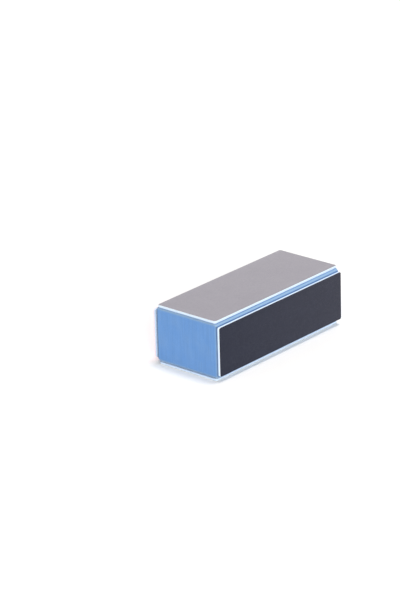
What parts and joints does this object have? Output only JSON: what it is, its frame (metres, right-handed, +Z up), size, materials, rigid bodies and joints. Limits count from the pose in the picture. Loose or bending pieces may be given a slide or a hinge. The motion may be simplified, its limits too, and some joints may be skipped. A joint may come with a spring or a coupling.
{
  "type": "nail buffer block",
  "caption": "Hand-held rectangular foam block with a thin foam-backed abrasive strip glued to each long face, graded from coarse file to fine shine.",
  "frame": {"origin": "middle of the underside, on the surface that the block rests on", "axes": "+X along the block; +Y across it, out of the smooth face; -Y out of the file face; +Z up, out of the shine face"},
  "size_m": [0.095, 0.0422, 0.0314],
  "materials": {
    "blue_foam": "matte closed-cell foam",
    "white_foam": "matte closed-cell foam",
    "clear_adhesive": "satin acrylic adhesive film",
    "latex_paper": "matte latex-filled paper",
    "file_grit": "matte, coarse silicon carbide grit in dark resin",
    "smooth_grit": "matte, fine grit in pink resin",
    "buff_grit": "matte, finer grit in pale mint resin",
    "shine_grit": "satin, superfine polishing coat in grey resin"
  },
  "bodies": {
    "root": {"foam_core": "blue_foam", "file_core_adhesive": "clear_adhesive", "file_foam_pad": "white_foam", "file_sheet_adhesive": "clear_adhesive", "file_carrier_sheet": "latex_paper", "file_grit_coat": "file_grit", "smooth_core_adhesive": "clear_adhesive", "smooth_foam_pad": "white_foam", "smooth_sheet_adhesive": "clear_adhesive", "smooth_carrier_sheet": "latex_paper", "smooth_grit_coat": "smooth_grit", "buff_core_adhesive": "clear_adhesive", "buff_foam_pad": "white_foam", "buff_sheet_adhesive": "clear_adhesive", "buff_carrier_sheet": "latex_paper", "buff_grit_coat": "buff_grit", "shine_core_adhesive": "clear_adhesive", "shine_foam_pad": "white_foam", "shine_sheet_adhesive": "clear_adhesive", "shine_carrier_sheet": "latex_paper", "shine_grit_coat": "shine_grit"}
  },
  "joints": []
}
